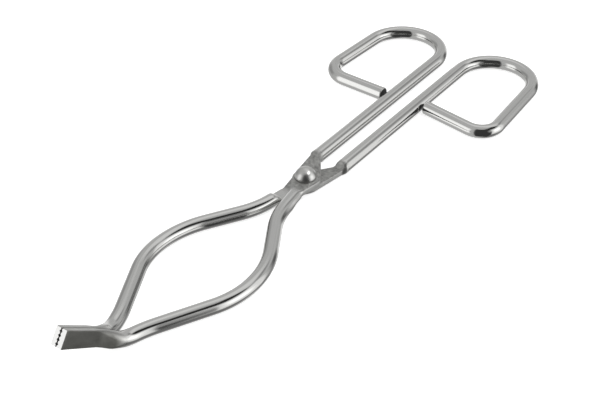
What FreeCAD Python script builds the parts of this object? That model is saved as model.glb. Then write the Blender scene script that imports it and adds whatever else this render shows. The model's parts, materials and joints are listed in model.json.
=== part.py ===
import FreeCAD, Part
import math
import os
import Sketcher

TOLERANCE = 1e-6

# Crucible tongs: two crossed steel arms bent and forged from round rod, turning on one rivet.
# The part lies on the bench plane Z = 0. The rivet's axis is the Z axis, +X runs towards the finger
# loops and the closed jaws meet on the XZ plane. Millimetres and degrees.

# Driving dimensions, each one a size that a maker could change by itself.
DRIVING = [
    ("rod_diameter", 5.5),          # round rod that each arm is bent from
    ("shank_spacing", 11.8),        # between the two shank centre lines
    ("shoulder_reach", 13.3),       # rivet axis to the shoulder where the shank's round rod starts
    ("loop_reach", 118.5),          # rivet axis to the centre line at the far end of a loop
    ("end_radius", 16.0),           # round far end of a loop
    ("upper_flare", 3.2),           # outer side of the upper arm's loop against its shank
    ("upper_corner", 10.0),         # radius of the tight bend before its crosspiece
    ("upper_slant", -1.5),          # its crosspiece against a square to the shank
    ("upper_cross_reach", 68.0),    # rivet axis to the centre of its crosspiece's cut end
    ("lower_flare", 3.8),           # the same four of the lower arm's loop, which is bent by hand
    ("lower_corner", 7.4),
    ("lower_slant", 8.5),
    ("lower_cross_reach", 69.4),
    ("end_gap", 1.2),               # between the cut end and the shank beside it
    ("crest_reach", 60.0),          # rivet axis to the widest place of the bows
    ("crest_offset", 19.9),         # jaw centre plane to a bow's centre line at its widest
    ("root_slope", 31.0),           # steepest slope of a bow between rivet and crest
    ("neck_bend_ratio", 0.86),      # radius of the hollow bend at the neck against the crest's
    ("neck_slope", 9.0),            # neck of a bow beside the joint
    ("neck_run", 9.6),              # straight neck, measured along it
    ("neck_reach", 8.0),            # rivet axis to where the neck runs into the flat
    ("neck_offset", 1.85),          # jaw centre plane to the neck's centre line at that place
    ("jaw_slope", 27.0),            # steepest slope of a bow between crest and jaw
    ("throat_bend_ratio", 1.4),     # radius of the hollow bend at the jaw against the crest's
    ("throat_slope", 10.0),         # slope that is left where the rod ends and the blade starts
    ("jaw_run", 43.4),              # crest to the bend of the blades, along X
    ("rod_past_bend", 1.4),         # bend of the blades to the end of the round rod
    ("rod_end_gap", 0.9),           # between the two round rods at their ends
    ("blade_angle", 35.5),          # upward bend of the jaw blades
    ("blade_thickness", 2.2),       # one blade, across the jaw
    ("blade_root_width", 5.8),      # height of a blade where it is fully flat
    ("blade_tip_width", 6.5),       # height of a blade at its end
    ("blade_start", 12.0),          # bend to the place where the blade is fully flat
    ("blade_length", 28.8),         # bend to the blade's end
    ("jaw_gap", 0.2),               # between the closed blades
    ("groove_count", 4),            # lengthwise gripping grooves in each blade
    ("groove_depth", 0.55),
    ("groove_share", 0.84),         # width of a groove against the pitch of the row
    ("groove_margin", 0.25),        # outermost groove to the blade's edge
    ("groove_runout", 1.0),         # grooves' inner end to the place where the blade is fully flat
    ("eye_back_radius", 5.0),       # flattened eye around the rivet, on the shank's side
    ("eye_front_radius", 5.8),      # the same, on the other side
    ("eye_edge_round", 0.5),
    ("flat_overlap", 0.9),          # how far the flat runs on inside the round rods
    ("shank_outer_inset", 1.4),     # shank's outer side to the flat's edge where they meet
    ("neck_outer_inset", 0.3),      # neck's outer side to the flat's edge
    ("neck_inner_inset", 0.55),     # neck's inner side to the flat's edge
    ("lap_gap", 0.1),               # between the two flats that lie on each other
    ("lap_side_gap", 0.35),         # a neck's full round to the jaw centre plane where the lap ends
    ("rivet_diameter", 4.0),
    ("rivet_running_gap", 0.06),    # rivet to bore, radial, in the arm that turns
    ("rivet_seat_gap", 0.02),       # rivet to bore, radial, in the arm that it is clenched to
    ("dome_diameter", 8.2),
    ("dome_height", 4.0),
    ("dome_rim", 0.5),              # straight edge under the dome
    ("dome_gap", 0.05),             # dome to the upper flat
    ("foot_diameter", 7.2),         # closing head under the joint
    ("foot_height", 0.5),
]



def falling_bend(crest, end, slope, end_slope, ratio, run, fall):
    """Formulas for an S that falls from a crest: an arc, a straight and an arc the other way.

    The crest's arc turns from level to slope and the end's arc back to end_slope, on a radius of ratio
    times the crest's. The first three lines are the run and the fall of the two arcs for a crest
    radius of 1, and the divisor that both answers share. Then come the crest's radius, the straight
    and the end's radius that cover the whole run and fall.
    """
    sine = "sin(%s * 1 deg)" % slope
    cosine = "cos(%s * 1 deg)" % slope
    end_sine = "sin(%s * 1 deg)" % end_slope
    end_cosine = "cos(%s * 1 deg)" % end_slope
    arc_run = end + "_arc_run"
    arc_fall = end + "_arc_fall"
    divisor = end + "_divisor"
    return [
        (arc_run, f"{sine} + {ratio} * ({sine} - {end_sine})"),
        (arc_fall, f"1 - {cosine} + {ratio} * ({end_cosine} - {cosine})"),
        (divisor, f"{arc_run} * {sine} - {arc_fall} * {cosine}"),
        (crest + "_radius", f"(({run}) * {sine} - ({fall}) * {cosine}) / {divisor}"),
        (end + "_straight", f"(({fall}) * {arc_run} - ({run}) * {arc_fall}) / {divisor}"),
        (end + "_radius", f"{crest}_radius * {ratio}"),
    ]


# Sizes that follow from the driving ones.
DERIVED = [
    ("rod_radius", "rod_diameter / 2"),
    ("mid_height", "rod_diameter / 2"),
    ("shank_offset", "shank_spacing / 2"),
    ("end_centre", "loop_reach - end_radius"),
    ("upper_flare_heading", "180 - upper_flare"),
    ("upper_cross_heading", "upper_slant - 90"),
    ("lower_flare_heading", "180 - lower_flare"),
    ("lower_cross_heading", "lower_slant - 90"),
    ("jaw_heading", "180 - jaw_slope"),
    ("cross_end", "shank_offset + rod_radius + end_gap"),
    ("bend_reach", "crest_reach + jaw_run"),
    ("rod_end_reach", "bend_reach + rod_past_bend"),
    ("rod_end_offset", "rod_radius + rod_end_gap / 2"),
    *falling_bend("crest_jaw", "throat", "jaw_slope", "throat_slope", "throat_bend_ratio",
                  "rod_end_reach - crest_reach", "crest_offset - rod_end_offset"),
    *falling_bend("crest_root", "neck", "root_slope", "neck_slope", "neck_bend_ratio",
                  "crest_reach - neck_reach - neck_run * cos(neck_slope * 1 deg)",
                  "crest_offset - neck_offset - neck_run * sin(neck_slope * 1 deg)"),
    ("flat_shank_end", "shoulder_reach + flat_overlap"),
    ("flat_shank_inner", "shank_offset - rod_radius"),
    ("flat_shank_outer", "shank_offset + rod_radius - shank_outer_inset"),
    ("flat_neck_end", "neck_reach + flat_overlap"),
    ("flat_neck_outer", "neck_offset + rod_radius - neck_outer_inset"),
    ("flat_neck_inner", "rod_radius - neck_offset - neck_inner_inset"),
    ("half_gap", "lap_gap / 2"),
    ("eye_thickness", "rod_radius - half_gap - foot_height"),
    ("lap_reach", "neck_reach + (rod_radius + lap_side_gap - neck_offset) / tan(neck_slope * 1 deg)"),
    ("lap_width", "shank_spacing + 2 * rod_diameter"),
    ("blade_offset", "(jaw_gap + blade_thickness) / 2"),
    ("half_thickness", "blade_thickness / 2"),
    ("half_root_width", "blade_root_width / 2"),
    ("half_tip_width", "blade_tip_width / 2"),
    ("blade_start_x", "bend_reach + blade_start * cos(blade_angle * 1 deg)"),
    ("blade_start_z", "mid_height + blade_start * sin(blade_angle * 1 deg)"),
    ("blade_tip_x", "bend_reach + blade_length * cos(blade_angle * 1 deg)"),
    ("blade_tip_z", "mid_height + blade_length * sin(blade_angle * 1 deg)"),
    ("section_reach", "rod_radius * cos(45 deg)"),
    ("groove_pitch", "(blade_root_width - 2 * groove_margin) / (groove_count - 1 + groove_share)"),
    ("groove_half_width", "groove_pitch * groove_share / 2"),
    ("groove_length", "blade_length - blade_start - groove_runout"),
    ("groove_span", "groove_pitch * (groove_count - 1)"),
    ("groove_first", "-groove_span / 2"),
    ("groove_floor", "half_thickness - groove_depth"),
    ("rivet_radius", "rivet_diameter / 2"),
    ("running_bore_radius", "rivet_radius + rivet_running_gap"),
    ("seat_bore_radius", "rivet_radius + rivet_seat_gap"),
    ("foot_radius", "foot_diameter / 2"),
    ("foot_top", "mid_height - half_gap - eye_thickness"),
    ("dome_radius", "dome_diameter / 2"),
    ("dome_seat", "mid_height + half_gap + eye_thickness + dome_gap"),
    ("dome_shoulder", "dome_seat + dome_rim"),
    ("dome_top", "dome_seat + dome_height"),
    ("dome_rise", "dome_height - dome_rim"),
    ("dome_sphere", "(dome_radius * dome_radius + dome_rise * dome_rise) / (2 * dome_rise)"),
    ("dome_centre", "dome_top - dome_sphere"),
]

doc = FreeCAD.newDocument("crucible_tongs")
sheet = doc.addObject("Spreadsheet::Sheet", "Sizes")


def fill_sheet():
    """Write every size to the sheet, the driving ones as plain numbers."""
    row = 1
    for alias, value in DRIVING:
        sheet.set("A%d" % row, alias)
        sheet.set("B%d" % row, str(value))
        sheet.setAlias("B%d" % row, alias)
        row += 1
    for alias, formula in DERIVED:
        sheet.set("A%d" % row, alias)
        sheet.set("B%d" % row, "=" + formula)
        sheet.setAlias("B%d" % row, alias)
        row += 1
    doc.recompute()


fill_sheet()


def size(alias):
    """A size from the sheet as a plain number."""
    return float(sheet.get(alias))


def signed(sign, alias):
    """The expression for a size of the sheet, on the side that sign gives."""
    return ("-" if sign < 0 else "") + "Sizes." + alias


def plane(body, role):
    """One of a body's own origin planes."""
    for feature in body.Origin.OriginFeatures:
        if feature.Role == role:
            return feature
    raise RuntimeError("no plane " + role)


def new_sketch(body, name, role, base=None, tilt=None):
    """A sketch on an origin plane, moved by the expressions in base and turned about tilt's axis."""
    sketch = body.newObject("Sketcher::SketchObject", name)
    sketch.AttachmentSupport = [(plane(body, role), "")]
    sketch.MapMode = "FlatFace"
    if tilt:
        axis, angle = tilt
        sketch.AttachmentOffset = FreeCAD.Placement(FreeCAD.Vector(), FreeCAD.Rotation(axis, 1))
        sketch.setExpression("AttachmentOffset.Rotation.Angle", angle)
    for letter, expression in (base or {}).items():
        sketch.setExpression("AttachmentOffset.Base." + letter, expression)
    return sketch


def bind(sketch, name, expression, kind, *where):
    """A named dimension of a sketch, driven by the sheet."""
    value = sketch.evalExpression(expression)
    value = value.Value if hasattr(value, "Value") else value
    if kind == "Angle":
        value = math.radians(value)
    index = sketch.addConstraint(Sketcher.Constraint(kind, *where, value))
    sketch.renameConstraint(index, name)
    sketch.setExpression("Constraints." + name, expression)


def place(sketch, name, x_expression, y_expression, geometry, point):
    """Fix a point of a sketch by its two coordinates."""
    bind(sketch, name + "_x", x_expression, "DistanceX", -1, 1, geometry, point)
    bind(sketch, name + "_y", y_expression, "DistanceY", -1, 1, geometry, point)


class BentPath:
    """A chain of tangent lines and arcs in a sketch, drawn by heading and turn."""

    def __init__(self, sketch, x, y, heading):
        self.sketch = sketch
        self.x = x
        self.y = y
        self.heading = heading
        self.last = None
        self.count = 0

    def join(self, geometry, enter, leave):
        """Make a new piece tangent to the last one and keep its far end."""
        if self.last:
            self.sketch.addConstraint(Sketcher.Constraint("Tangent", *self.last, geometry, enter))
        self.last = (geometry, leave)
        self.count += 1
        return geometry

    def line(self, length):
        """A straight run along the heading."""
        angle = math.radians(self.heading)
        start = FreeCAD.Vector(self.x, self.y, 0)
        self.x += length * math.cos(angle)
        self.y += length * math.sin(angle)
        end = FreeCAD.Vector(self.x, self.y, 0)
        return self.join(self.sketch.addGeometry(Part.LineSegment(start, end)), 1, 2)

    def arc(self, radius, turn):
        """An arc that turns left by turn degrees, or right when turn is negative."""
        side = 1 if turn > 0 else -1
        to_centre = math.radians(self.heading + 90 * side)
        centre_x = self.x + radius * math.cos(to_centre)
        centre_y = self.y + radius * math.sin(to_centre)
        centre = FreeCAD.Vector(centre_x, centre_y, 0)
        first = to_centre + math.pi
        last = first + math.radians(turn)
        self.x = centre.x + radius * math.cos(last)
        self.y = centre.y + radius * math.sin(last)
        self.heading += turn
        circle = Part.Circle(centre, FreeCAD.Vector(0, 0, 1), radius)
        shape = Part.ArcOfCircle(circle, min(first, last), max(first, last))
        geometry = self.sketch.addGeometry(shape)
        if side > 0:
            return self.join(geometry, 1, 2)
        return self.join(geometry, 2, 1)

    def edges(self):
        """The names of the chain's edges, in order."""
        return ["Edge%d" % (i + 1) for i in range(self.count)]


def circle_section(body, name, x_expression, offset_expression):
    """The rod's round section, square to the X axis."""
    sketch = new_sketch(body, name, "YZ_Plane", {"z": x_expression})
    circle = sketch.addGeometry(Part.Circle(FreeCAD.Vector(1, 1, 0), FreeCAD.Vector(0, 0, 1), 1))
    place(sketch, "centre", offset_expression, "Sizes.mid_height", circle, 3)
    bind(sketch, "radius", "Sizes.rod_radius", "Radius", circle)
    return sketch


def sweep(body, name, section, path_sketch, edges):
    """A rod: the section carried along the path."""
    pipe = body.newObject("PartDesign::AdditivePipe", name)
    pipe.Profile = section
    pipe.Spine = (path_sketch, edges)
    doc.recompute()
    return pipe


def handle(body, side):
    """Shank and finger loop: one bent rod that ends in a crosspiece beside the shank."""
    arm = "upper_" if side > 0 else "lower_"
    path = new_sketch(body, "handle_path", "XY_Plane", {"z": "Sizes.mid_height"})
    chain = BentPath(path, size("shoulder_reach"), side * size("shank_offset"), 0)
    shank = chain.line(size("end_centre") - size("shoulder_reach"))
    far_end = chain.arc(size("end_radius"), side * size(arm + "flare_heading"))
    outer_side = chain.line(size("end_centre") - size(arm + "cross_reach") - size(arm + "corner"))
    corner = chain.arc(size(arm + "corner"), side * (90 + size(arm + "flare") + size(arm + "slant")))
    crosspiece = chain.line(abs(chain.y) - size("cross_end"))
    place(path, "start", "Sizes.shoulder_reach", signed(side, "shank_offset"), shank, 1)
    path.addConstraint(Sketcher.Constraint("Horizontal", shank))
    bind(path, "end_centre", "Sizes.end_centre", "DistanceX", -1, 1, far_end, 3)
    bind(path, "end_radius", "Sizes.end_radius", "Radius", far_end)
    flare = signed(side, arm + "flare_heading")
    bind(path, "flare", "(%s) * 1 deg" % flare, "Angle", outer_side)
    bind(path, "corner_radius", "Sizes.%scorner" % arm, "Radius", corner)
    slant = signed(side, arm + "cross_heading")
    bind(path, "slant", "(%s) * 1 deg" % slant, "Angle", crosspiece)
    place(path, "cut_end", "Sizes.%scross_reach" % arm, signed(side, "cross_end"), crosspiece, 2)
    section = circle_section(body, "shank_section", "Sizes.shoulder_reach", signed(side, "shank_offset"))
    return sweep(body, "handle_rod", section, path, chain.edges())


def bow_root(body, side):
    """Bow from its crest back to the flat, through the hollow bend and the neck."""
    path = new_sketch(body, "root_path", "XY_Plane", {"z": "Sizes.mid_height"})
    chain = BentPath(path, -size("crest_reach"), side * size("crest_offset"), 0)
    crest = chain.arc(size("crest_root_radius"), -side * size("root_slope"))
    slope = chain.line(size("neck_straight"))
    neck_bend = chain.arc(size("neck_radius"), side * (size("root_slope") - size("neck_slope")))
    neck = chain.line(size("neck_run"))
    place(path, "crest", "-Sizes.crest_reach", signed(side, "crest_offset"), crest, 2 if side > 0 else 1)
    bind(path, "crest_centre", "-Sizes.crest_reach", "DistanceX", -1, 1, crest, 3)
    bind(path, "crest_radius", "Sizes.crest_root_radius", "Radius", crest)
    bind(path, "slope", "(%s) * 1 deg" % signed(-side, "root_slope"), "Angle", slope)
    bind(path, "bend_radius", "Sizes.neck_radius", "Radius", neck_bend)
    bind(path, "neck_slope", "(%s) * 1 deg" % signed(-side, "neck_slope"), "Angle", neck)
    place(path, "neck_end", "-Sizes.neck_reach", signed(side, "neck_offset"), neck, 2)
    section = circle_section(body, "crest_section", "-Sizes.crest_reach", signed(side, "crest_offset"))
    return sweep(body, "bow_root_rod", section, path, chain.edges())


def bow_throat(body, side):
    """Bow from its crest out to the place where the blade starts."""
    path = new_sketch(body, "throat_path", "XY_Plane", {"z": "Sizes.mid_height"})
    chain = BentPath(path, -size("crest_reach"), side * size("crest_offset"), 180)
    crest = chain.arc(size("crest_jaw_radius"), side * size("jaw_slope"))
    slope = chain.line(size("throat_straight"))
    throat = chain.arc(size("throat_radius"), side * (size("throat_slope") - size("jaw_slope")))
    place(path, "crest", "-Sizes.crest_reach", signed(side, "crest_offset"), crest, 1 if side > 0 else 2)
    bind(path, "crest_centre", "-Sizes.crest_reach", "DistanceX", -1, 1, crest, 3)
    bind(path, "crest_radius", "Sizes.crest_jaw_radius", "Radius", crest)
    bind(path, "slope", "(%s) * 1 deg" % signed(-side, "jaw_heading"), "Angle", slope)
    bind(path, "throat_radius", "Sizes.throat_radius", "Radius", throat)
    end_point = 1 if side > 0 else 2
    place(path, "rod_end", "-Sizes.rod_end_reach", signed(side, "rod_end_offset"), throat, end_point)
    section = circle_section(body, "throat_section", "-Sizes.crest_reach", signed(side, "crest_offset"))
    return sweep(body, "bow_throat_rod", section, path, chain.edges())


def quarter_section(body, side):
    """The rod's round end as four quarter arcs, square to the bow where it ends."""
    base = {"x": signed(side, "rod_end_offset"), "y": "Sizes.mid_height", "z": "-Sizes.rod_end_reach"}
    turn = (FreeCAD.Vector(0, 1, 0), "(%s) * 1 deg" % signed(side, "throat_slope"))
    sketch = new_sketch(body, "rod_end_section", "YZ_Plane", base, turn)
    circle = Part.Circle(FreeCAD.Vector(), FreeCAD.Vector(0, 0, 1), size("rod_radius"))
    quarter = math.pi / 2
    for i in range(4):
        sketch.addGeometry(Part.ArcOfCircle(circle, (i - 0.5) * quarter, (i + 0.5) * quarter))
    for i in range(4):
        sketch.addConstraint(Sketcher.Constraint("Coincident", i, 2, (i + 1) % 4, 1))
        sketch.addConstraint(Sketcher.Constraint("Coincident", i, 3, -1, 1))
    bind(sketch, "radius", "Sizes.rod_radius", "Radius", 0)
    for i in range(4):
        across = "Sizes.section_reach" if i in (0, 3) else "-Sizes.section_reach"
        bind(sketch, "corner_%d" % i, across, "DistanceX", -1, 1, i, 2)
    return sketch


def blade_plane(body, name, side, spot):
    """A sketch square to the blade, on its centre line at one of the places that the sheet names."""
    base = {"x": signed(side, "blade_offset"), "y": "Sizes.%s_z" % spot, "z": "-Sizes.%s_x" % spot}
    turn = (FreeCAD.Vector(1, 0, 0), "Sizes.blade_angle * 1 deg")
    return new_sketch(body, name, "YZ_Plane", base, turn)


def blade_section(body, spot, side, half_width):
    """A blade's rectangle."""
    sketch = blade_plane(body, spot + "_section", side, spot)
    half = size("half_thickness")
    high = size(half_width)
    corners = [(half, -high), (half, high), (-half, high), (-half, -high)]
    for i in range(4):
        start = FreeCAD.Vector(*corners[i], 0)
        end = FreeCAD.Vector(*corners[(i + 1) % 4], 0)
        sketch.addGeometry(Part.LineSegment(start, end))
    for i in range(4):
        sketch.addConstraint(Sketcher.Constraint("Coincident", i, 2, (i + 1) % 4, 1))
        sketch.addConstraint(Sketcher.Constraint("Vertical" if i % 2 == 0 else "Horizontal", i))
    place(sketch, "low", "Sizes.half_thickness", "-Sizes." + half_width, 0, 1)
    place(sketch, "high", "-Sizes.half_thickness", "Sizes." + half_width, 2, 1)
    return sketch


def blade(body, side):
    """Jaw blade: the rod's end forged flat and bent upward, grooved lengthwise on its inner face."""
    loft = body.newObject("PartDesign::AdditiveLoft", "blade")
    loft.Profile = quarter_section(body, side)
    start = blade_section(body, "blade_start", side, "half_root_width")
    tip = blade_section(body, "blade_tip", side, "half_tip_width")
    loft.Sections = [start, tip]
    loft.Ruled = True
    doc.recompute()
    return loft


def grooves(body, side):
    """The row of V grooves that run lengthwise in a blade's inner face."""
    sketch = blade_plane(body, "groove_section", side, "blade_tip")
    third = 2 * math.pi / 3
    for i in range(3):
        start = FreeCAD.Vector(math.cos(i * third), math.sin(i * third), 0)
        end = FreeCAD.Vector(math.cos((i + 1) * third), math.sin((i + 1) * third), 0)
        sketch.addGeometry(Part.LineSegment(start, end))
    for i in range(3):
        sketch.addConstraint(Sketcher.Constraint("Coincident", i, 2, (i + 1) % 3, 1))
    place(sketch, "bottom", signed(-side, "groove_floor"), "Sizes.groove_first", 0, 1)
    face = signed(-side, "half_thickness")
    place(sketch, "upper", face, "Sizes.groove_first + Sizes.groove_half_width", 0, 2)
    place(sketch, "lower", face, "Sizes.groove_first - Sizes.groove_half_width", 1, 2)
    cut = body.newObject("PartDesign::Pocket", "groove")
    cut.Profile = sketch
    cut.Reversed = True
    cut.setExpression("Length", "Sizes.groove_length")
    doc.recompute()
    pattern = body.newObject("PartDesign::LinearPattern", "groove_row")
    pattern.Originals = [cut]
    pattern.Direction = (sketch, ["V_Axis"])
    pattern.setExpression("Length", "Sizes.groove_span")
    pattern.setExpression("Occurrences", "Sizes.groove_count")
    body.Tip = pattern
    doc.recompute()
    return pattern


def flat_outline(sketch, side):
    """The flat around the rivet, from inside the shank's rod to inside the bow's neck."""
    back_radius = size("eye_back_radius")
    front_radius = size("eye_front_radius")
    shank = size("flat_shank_end")
    outer = side * size("flat_shank_outer")
    inner = side * size("flat_shank_inner")
    neck = -size("flat_neck_end")
    neck_upper = side * size("flat_neck_inner")
    neck_lower = -side * size("flat_neck_outer")
    origin = FreeCAD.Vector()

    def tangent_angle(radius, x, y, turn):
        """Angle on the eye where the tangent from a point touches it."""
        return math.atan2(y, x) + turn * math.acos(radius / math.hypot(x, y))

    first = tangent_angle(back_radius, shank, outer, side)
    second = tangent_angle(back_radius, neck, neck_upper, -side)
    third = tangent_angle(front_radius, neck, neck_lower, side)
    fourth = tangent_angle(front_radius, shank, inner, -side)

    def on_eye(radius, angle):
        """A point of the eye at an angle."""
        return FreeCAD.Vector(radius * math.cos(angle), radius * math.sin(angle), 0)

    def eye_arc(radius, start, end):
        """The short way round the eye between two angles, as the sketch stores it."""
        sweep_angle = (end - start) % (2 * math.pi)
        if sweep_angle > math.pi:
            start, end = end, start
        circle = Part.Circle(origin, FreeCAD.Vector(0, 0, 1), radius)
        return sketch.addGeometry(Part.ArcOfCircle(circle, start, start + (end - start) % (2 * math.pi)))

    def line(start, end):
        """A straight edge of the flat."""
        return sketch.addGeometry(Part.LineSegment(start, end))

    shank_outer_point = FreeCAD.Vector(shank, outer, 0)
    shank_inner_point = FreeCAD.Vector(shank, inner, 0)
    neck_upper_point = FreeCAD.Vector(neck, neck_upper, 0)
    neck_lower_point = FreeCAD.Vector(neck, neck_lower, 0)
    slanted = line(shank_outer_point, on_eye(back_radius, first))
    back = eye_arc(back_radius, first, second)
    upper = line(on_eye(back_radius, second), neck_upper_point)
    neck_end = line(neck_upper_point, neck_lower_point)
    lower = line(neck_lower_point, on_eye(front_radius, third))
    front = eye_arc(front_radius, third, fourth)
    diagonal = line(on_eye(front_radius, fourth), shank_inner_point)
    shank_end = line(shank_inner_point, shank_outer_point)
    enter, leave = (1, 2) if side > 0 else (2, 1)
    joins = [
        ("Tangent", slanted, 2, back, enter),
        ("Tangent", back, leave, upper, 1),
        ("Coincident", upper, 2, neck_end, 1),
        ("Coincident", neck_end, 2, lower, 1),
        ("Tangent", lower, 2, front, enter),
        ("Tangent", front, leave, diagonal, 1),
        ("Coincident", diagonal, 2, shank_end, 1),
        ("Coincident", shank_end, 2, slanted, 1),
        ("Coincident", back, 3, -1, 1),
        ("Coincident", front, 3, -1, 1),
        ("Vertical", shank_end),
    ]
    for kind, *where in joins:
        sketch.addConstraint(Sketcher.Constraint(kind, *where))
    bind(sketch, "back_radius", "Sizes.eye_back_radius", "Radius", back)
    bind(sketch, "front_radius", "Sizes.eye_front_radius", "Radius", front)
    bind(sketch, "shank_outer", signed(side, "flat_shank_outer"), "DistanceY", -1, 1, slanted, 1)
    place(sketch, "shank_inner", "Sizes.flat_shank_end", signed(side, "flat_shank_inner"), diagonal, 2)
    place(sketch, "neck_upper", "-Sizes.flat_neck_end", signed(side, "flat_neck_inner"), upper, 2)
    place(sketch, "neck_lower", "-Sizes.flat_neck_end", signed(-side, "flat_neck_outer"), lower, 1)


def lap_plane(body, name, lap):
    """A sketch on the face where this arm's flat lies over the other arm's."""
    height = "Sizes.mid_height + Sizes.half_gap" if lap > 0 else "Sizes.mid_height - Sizes.half_gap"
    return new_sketch(body, name, "XY_Plane", {"z": height})


def flat(body, side, lap):
    """The forged flat with its rounded outer edge."""
    sketch = lap_plane(body, "flat_outline", lap)
    flat_outline(sketch, side)
    pad = body.newObject("PartDesign::Pad", "flat")
    pad.Profile = sketch
    pad.Reversed = lap < 0
    pad.setExpression("Length", "Sizes.eye_thickness")
    doc.recompute()
    outer_z = size("mid_height") + lap * (size("half_gap") + size("eye_thickness"))
    names = []
    for i, edge in enumerate(pad.Shape.Edges):
        if all(abs(vertex.Point.z - outer_z) < TOLERANCE for vertex in edge.Vertexes):
            names.append("Edge%d" % (i + 1))
    rounding = body.newObject("PartDesign::Fillet", "flat_edge")
    rounding.Base = (pad, names)
    rounding.setExpression("Radius", "Sizes.eye_edge_round")
    doc.recompute()
    return rounding


def half_lap(body, lap):
    """Take away the half of the neck that would run into the other arm's flat."""
    sketch = lap_plane(body, "lap_outline", lap)
    corners = [(-1, -1), (1, -1), (1, 1), (-1, 1)]
    for i in range(4):
        start = FreeCAD.Vector(*corners[i], 0)
        end = FreeCAD.Vector(*corners[(i + 1) % 4], 0)
        sketch.addGeometry(Part.LineSegment(start, end))
    for i in range(4):
        sketch.addConstraint(Sketcher.Constraint("Coincident", i, 2, (i + 1) % 4, 1))
        sketch.addConstraint(Sketcher.Constraint("Horizontal" if i % 2 == 0 else "Vertical", i))
    place(sketch, "low", "-Sizes.lap_reach", "-Sizes.lap_width", 0, 1)
    place(sketch, "high", "Sizes.shoulder_reach", "Sizes.lap_width", 2, 1)
    return cut_through(body, "half_lap", sketch, lap < 0)


def cut_through(body, name, sketch, reversed_cut):
    """A pocket through everything on one side of its sketch, which has to take metal away."""
    before = body.Shape.Volume
    cut = body.newObject("PartDesign::Pocket", name)
    cut.Profile = sketch
    cut.Type = "ThroughAll"
    cut.Reversed = reversed_cut
    doc.recompute()
    if not cut.Shape.Volume < before:
        raise RuntimeError(name + " cuts nothing")
    return cut


def bore(body, lap, radius_alias):
    """The rivet's hole through the flat."""
    sketch = lap_plane(body, "bore_outline", lap)
    shape = Part.Circle(FreeCAD.Vector(), FreeCAD.Vector(0, 0, 1), size(radius_alias))
    circle = sketch.addGeometry(shape)
    sketch.addConstraint(Sketcher.Constraint("Coincident", circle, 3, -1, 1))
    bind(sketch, "radius", "Sizes." + radius_alias, "Radius", circle)
    return cut_through(body, "rivet_bore", sketch, lap > 0)


def make_arm(label, side, lap, bore_alias):
    """One arm: its loop lies on the +Y or -Y side as side says, its bow and blade on the other."""
    body = doc.addObject("PartDesign::Body", label)
    body.Label = label
    doc.recompute()
    flat(body, side, lap)
    handle(body, side)
    bow_root(body, -side)
    bow_throat(body, -side)
    blade(body, -side)
    half_lap(body, lap)
    bore(body, lap, bore_alias)
    grooves(body, -side)
    return body


def make_rivet(label):
    """The rivet: domed head above, shank through both flats, flat closing head below."""
    body = doc.addObject("PartDesign::Body", label)
    body.Label = label
    sketch = new_sketch(body, "rivet_profile", "XZ_Plane")
    outline = [
        ("0", "0"),
        ("Sizes.foot_radius", "0"),
        ("Sizes.foot_radius", "Sizes.foot_top"),
        ("Sizes.rivet_radius", "Sizes.foot_top"),
        ("Sizes.rivet_radius", "Sizes.dome_seat"),
        ("Sizes.dome_radius", "Sizes.dome_seat"),
        ("Sizes.dome_radius", "Sizes.dome_shoulder"),
        ("0", "Sizes.dome_top"),
    ]
    points = []
    for expressions in outline:
        points.append(FreeCAD.Vector(*[sketch.evalExpression(item) for item in expressions], 0))
    for i in range(6):
        sketch.addGeometry(Part.LineSegment(points[i], points[i + 1]))
    centre = FreeCAD.Vector(0, size("dome_centre"), 0)
    rim = points[6] - centre
    dome_circle = Part.Circle(centre, FreeCAD.Vector(0, 0, 1), size("dome_sphere"))
    dome = sketch.addGeometry(Part.ArcOfCircle(dome_circle, math.atan2(rim.y, rim.x), math.pi / 2))
    axis = sketch.addGeometry(Part.LineSegment(points[7], points[0]))
    for i in range(5):
        sketch.addConstraint(Sketcher.Constraint("Coincident", i, 2, i + 1, 1))
    sketch.addConstraint(Sketcher.Constraint("Coincident", 5, 2, dome, 1))
    sketch.addConstraint(Sketcher.Constraint("Coincident", dome, 2, axis, 1))
    sketch.addConstraint(Sketcher.Constraint("Coincident", axis, 2, 0, 1))
    sketch.addConstraint(Sketcher.Constraint("Coincident", 0, 1, -1, 1))
    for i in range(1, 7):
        place(sketch, "corner_%d" % i, *outline[i], i - 1, 2)
    place(sketch, "dome_top", "0", "Sizes.dome_top", dome, 2)
    bind(sketch, "dome_sphere", "Sizes.dome_sphere", "Radius", dome)
    turned = body.newObject("PartDesign::Revolution", "rivet")
    turned.Profile = sketch
    turned.ReferenceAxis = (sketch, ["V_Axis"])
    turned.Angle = 360
    doc.recompute()
    return body


def check_document():
    """Stop if any object of the document failed."""
    for item in doc.Objects:
        if "Invalid" in item.State or "Error" in item.State:
            raise RuntimeError("%s failed: %s" % (item.Name, item.State))


def main():
    """Build the three pieces, check them and write their files."""
    parts = [
        make_arm("upper_arm", 1, 1, "running_bore_radius"),
        make_arm("lower_arm", -1, -1, "seat_bore_radius"),
        make_rivet("pivot_rivet"),
    ]
    doc.recompute()
    check_document()
    for body in parts:
        if body.Shape.isNull() or not body.Shape.isValid() or len(body.Shape.Solids) != 1:
            raise RuntimeError(body.Label + " is not one sound solid")
    os.makedirs("parts", exist_ok=True)
    for body in parts:
        body.Shape.exportStep("parts/%s.step" % body.Label)
        print(body.Label, "volume %.1f" % body.Shape.Volume, body.Shape.BoundBox)


main()
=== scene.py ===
import json
import math
from collections import namedtuple

import bmesh
import bpy
from bpy.props import FloatProperty, FloatVectorProperty, IntProperty, PointerProperty
from mathutils import Matrix, Quaternion, Vector


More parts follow.
